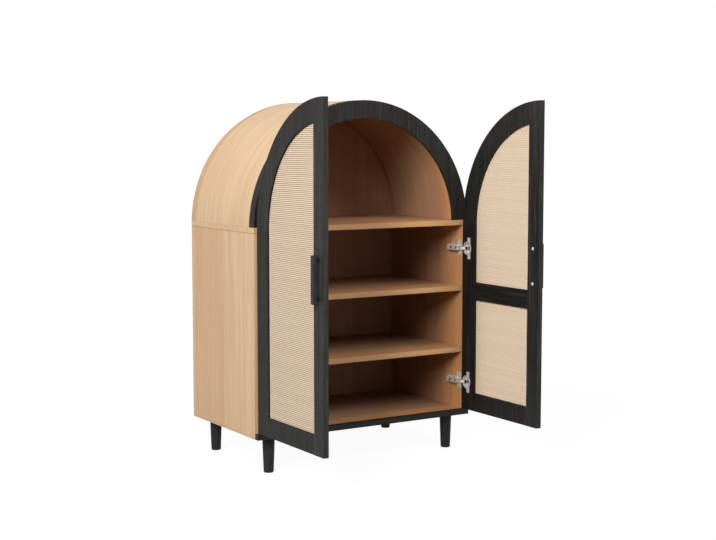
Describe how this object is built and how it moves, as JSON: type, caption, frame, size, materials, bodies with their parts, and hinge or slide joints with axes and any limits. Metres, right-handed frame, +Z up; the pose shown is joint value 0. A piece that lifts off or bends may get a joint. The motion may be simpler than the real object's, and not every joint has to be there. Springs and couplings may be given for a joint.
{
  "type": "arched cabinet",
  "caption": "Arched-top storage cabinet on short tapered legs, with oak carcass, black ring and plinth rail, shelves, and black frame doors of woven cane on concealed hinges.",
  "frame": {"origin": "on the floor, midway between the outer edges across X, and midway along Y from the tips of the open doors to the heads of the screws in the back", "axes": "+X to the right seen from the front, +Y to the back, +Z up"},
  "size_m": [0.726, 0.7434, 1.014],
  "materials": {
    "oak_veneer": "matt oak veneer",
    "oak_back_board": "matt oak veneer",
    "black_wood": "black stain, open grain, matt",
    "woven_cane": "close woven cane",
    "handle_metal": "satin black",
    "hinge_steel": "nickel plated",
    "fastener_steel": "zinc plated",
    "glide_plastic": "matt",
    "beech": "plain"
  },
  "bodies": {
    "carcass": {"arch_back_hoop": "oak_veneer", "arch_back_panel": "oak_back_board", "arch_front_ring": "black_wood", "arch_shell": "oak_veneer", "assembly_dowels": "beech", "back_panel_screws": "fastener_steel", "bottom_panel": "oak_veneer", "cam_bolts": "fastener_steel", "cam_locks": "fastener_steel", "foot_glides": "glide_plastic", "front_rail": "black_wood", "hinge_pins": "hinge_steel", "hinge_plate_screws": "fastener_steel", "left_front_leg": "black_wood", "left_lower_hinge_arm": "hinge_steel", "left_lower_hinge_plate": "hinge_steel", "left_rear_leg": "black_wood", "left_side_panel": "oak_veneer", "left_upper_hinge_arm": "hinge_steel", "left_upper_hinge_plate": "hinge_steel", "leg_bolts": "fastener_steel", "leg_insert_nuts": "fastener_steel", "lower_back_panel": "oak_back_board", "lower_shelf": "oak_veneer", "right_front_leg": "black_wood", "right_lower_hinge_arm": "hinge_steel", "right_lower_hinge_plate": "hinge_steel", "right_rear_leg": "black_wood", "right_side_panel": "oak_veneer", "right_upper_hinge_arm": "hinge_steel", "right_upper_hinge_plate": "hinge_steel", "shelf_pins": "fastener_steel", "shoulder_board": "oak_veneer", "upper_shelf": "oak_veneer"},
    "right_door": {"right_hinge_stile": "black_wood", "right_meeting_stile": "black_wood", "right_arch_rail": "black_wood", "right_bottom_rail": "black_wood", "right_brace_rail": "black_wood", "right_rattan_panel": "woven_cane", "right_handle": "handle_metal", "right_handle_screws": "fastener_steel", "right_hinge_cup_screws": "fastener_steel", "right_lower_hinge_cup": "hinge_steel", "right_upper_hinge_cup": "hinge_steel"},
    "left_door": {"left_hinge_stile": "black_wood", "left_meeting_stile": "black_wood", "left_arch_rail": "black_wood", "left_bottom_rail": "black_wood", "left_brace_rail": "black_wood", "left_rattan_panel": "woven_cane", "left_handle": "handle_metal", "left_handle_screws": "fastener_steel", "left_hinge_cup_screws": "fastener_steel", "left_lower_hinge_cup": "hinge_steel", "left_upper_hinge_cup": "hinge_steel"},
    "right_hinge_links": {"right_lower_hinge_link": "hinge_steel", "right_upper_hinge_link": "hinge_steel"},
    "left_hinge_links": {"left_lower_hinge_link": "hinge_steel", "left_upper_hinge_link": "hinge_steel"}
  },
  "joints": [
    {"name": "right_door_hinge", "type": "hinge", "parent": "carcass", "child": "right_door", "pos_m": [0.34275, -0.031, 0.395], "axis": [0, 0, 1], "range_deg": [-90, 14]},
    {"name": "right_link_pivot", "type": "hinge", "parent": "carcass", "child": "right_hinge_links", "pos_m": [0.331, -0.01725, 0.395], "axis": [0, 0, 1], "range_deg": [-70.5, 12]},
    {"name": "left_door_hinge", "type": "hinge", "parent": "carcass", "child": "left_door", "pos_m": [-0.34275, -0.031, 0.395], "axis": [0, 0, -1], "range_deg": [-90, 14]},
    {"name": "left_link_pivot", "type": "hinge", "parent": "carcass", "child": "left_hinge_links", "pos_m": [-0.331, -0.01725, 0.395], "axis": [0, 0, -1], "range_deg": [-70.5, 12]}
  ],
  "couplings": [
    {"joint": "right_link_pivot", "follows": "right_door_hinge", "ratio": 0.78},
    {"joint": "left_link_pivot", "follows": "left_door_hinge", "ratio": 0.78}
  ]
}
